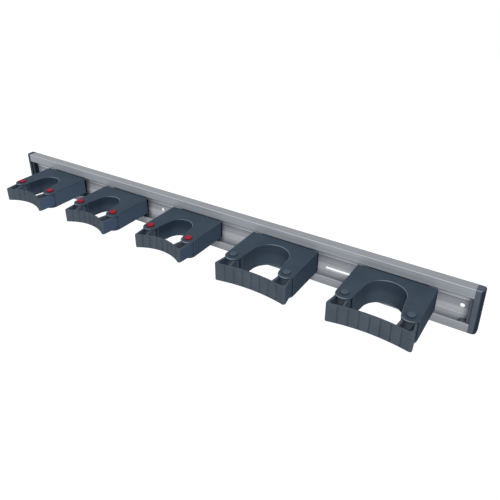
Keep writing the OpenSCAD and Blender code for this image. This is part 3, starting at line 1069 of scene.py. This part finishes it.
def make_pins(h):
    """The two hinge pins of one holder."""
    pair = [lathe(f"holder_{h.number}_pins", pin_profile(h), (side * h.pin_x, -h.reach))
            for side in (-1, 1)]
    piece = clean(at(h, join(pair)))
    slot = h.kind["pin_slot"]
    dress(piece, MATERIALS[slot], f"holder_{h.number}")
    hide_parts(f"pins_{h.number}")


# Stage, light and camera

def background_share(tree):
    """1 for the rays that see the white background: from the camera, a reflection or through glass."""
    path = tree.nodes.new("ShaderNodeLightPath")
    share = path.outputs["Is Camera Ray"]
    for name in ("Is Glossy Ray", "Is Transmission Ray"):
        node = tree.nodes.new("ShaderNodeMath")
        node.operation = "MAXIMUM"
        tree.links.new(share, node.inputs[0])
        tree.links.new(path.outputs[name], node.inputs[1])
        share = node.outputs[0]
    return share


def make_stage():
    """Pale floor far below the rail. Its own light makes it white where it is seen as background."""
    half, level, pale, own_light = 6, -0.9, 0.7, 0.47
    mesh = bpy.data.meshes.new("floor")
    corners = [(x, y, level) for x, y in rectangle(-half, half, -half, half)]
    mesh.from_pydata(corners, [], [(0, 1, 2, 3)])
    floor = bpy.data.objects.new("floor", mesh)
    bpy.context.scene.collection.objects.link(floor)
    material = bpy.data.materials.new("pale_floor")
    material.use_nodes = True
    tree = material.node_tree
    shader = tree.nodes["Principled BSDF"]
    shader.inputs["Base Color"].default_value = (pale, pale, pale, 1)
    shader.inputs["Roughness"].default_value = 0.9
    glow = tree.nodes.new("ShaderNodeEmission")
    glow.inputs["Color"].default_value = (1, 1, 1, 1)
    lift = tree.nodes.new("ShaderNodeMath")
    lift.operation = "MULTIPLY"
    tree.links.new(background_share(tree), lift.inputs[0])
    lift.inputs[1].default_value = own_light
    tree.links.new(lift.outputs["Value"], glow.inputs["Strength"])
    both = tree.nodes.new("ShaderNodeAddShader")
    tree.links.new(shader.outputs["BSDF"], both.inputs[0])
    tree.links.new(glow.outputs["Emission"], both.inputs[1])
    tree.links.new(both.outputs["Shader"], tree.nodes["Material Output"].inputs["Surface"])
    mesh.materials.append(material)


def make_world():
    """Even studio light, white where it is seen as background."""
    world = bpy.data.worlds.new("studio")
    bpy.context.scene.world = world
    world.use_nodes = True
    tree = world.node_tree
    light = tree.nodes["Background"]
    light.inputs["Color"].default_value = (0.93, 0.96, 1, 1)
    light.inputs["Strength"].default_value = 0.5
    white = tree.nodes.new("ShaderNodeBackground")
    white.inputs["Color"].default_value = (1, 1, 1, 1)
    white.inputs["Strength"].default_value = 1
    mix = tree.nodes.new("ShaderNodeMixShader")
    tree.links.new(background_share(tree), mix.inputs["Fac"])
    tree.links.new(light.outputs["Background"], mix.inputs[1])
    tree.links.new(white.outputs["Background"], mix.inputs[2])
    tree.links.new(mix.outputs["Shader"], tree.nodes["World Output"].inputs["Surface"])


def add_sun(name, direction, strength, angle):
    """Soft distant lamp that shines from a direction, its apparent size in degrees."""
    data = bpy.data.lights.new(name, "SUN")
    data.energy = strength
    data.angle = math.radians(angle)
    lamp = bpy.data.objects.new(name, data)
    bpy.context.scene.collection.objects.link(lamp)
    lamp.rotation_euler = Vector(direction).to_track_quat("Z", "Y").to_euler()


def make_camera():
    """Camera fitted to the photograph, with its focal length and picture centre in pixels."""
    focal_px, frame_px = 561.07, 500
    centre_px = (248.68, 206.96)
    down, turn = 26.88, 32.61
    data = bpy.data.cameras.new("camera")
    data.sensor_width = 36
    data.lens = data.sensor_width * focal_px / frame_px
    data.shift_x = (frame_px / 2 - centre_px[0]) / frame_px
    data.shift_y = (centre_px[1] - frame_px / 2) / frame_px
    data.clip_start = 0.01
    camera = bpy.data.objects.new("camera", data)
    bpy.context.scene.collection.objects.link(camera)
    camera.location = (0.53603, -0.70607, 0.47749)
    camera.rotation_euler = (math.radians(90 - down), 0, math.radians(turn))
    bpy.context.scene.camera = camera


make_camera()
make_world()
make_stage()
add_sun("key", direction=(0.36, -0.64, 0.7), strength=1.62, angle=25)
make_rail()
make_end_cap(-1, "end_cap_left")
make_end_cap(1, "end_cap_right")
for number in range(1, len(KINDS) + 1):
    holder = Holder(number)
    make_housing(holder)
    make_rubber(holder, -1)
    make_rubber(holder, 1)
    make_pins(holder)

bpy.context.scene.view_settings.view_transform = "Standard"
